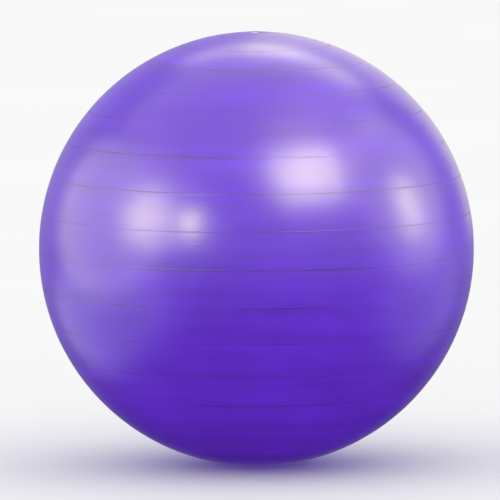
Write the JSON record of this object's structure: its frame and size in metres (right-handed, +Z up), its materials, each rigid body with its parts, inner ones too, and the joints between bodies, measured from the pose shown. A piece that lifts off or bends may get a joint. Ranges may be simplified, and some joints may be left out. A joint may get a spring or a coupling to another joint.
{
  "type": "exercise ball",
  "caption": "Inflated exercise ball with a ring-ribbed soft skin, a flush valve seat and a push-in stopper.",
  "frame": {"origin": "centre of the contact patch, the small flat that the floor presses into the ball at rest", "axes": "+Z up through the middle of the ball, along the axis of its ring ribs, to the valve at the top"},
  "size_m": [0.6504, 0.6504, 0.6484],
  "materials": {
    "skin": "satin",
    "seat": "satin",
    "plug": "satin"
  },
  "bodies": {
    "ball": {"ball_skin": "skin", "valve_seat": "seat"},
    "plug": {"valve_plug": "plug"}
  },
  "joints": [
    {"name": "plug_pull", "type": "slide", "parent": "ball", "child": "plug", "axis": [0, 0, 1], "range_m": [0, 0.035]}
  ]
}
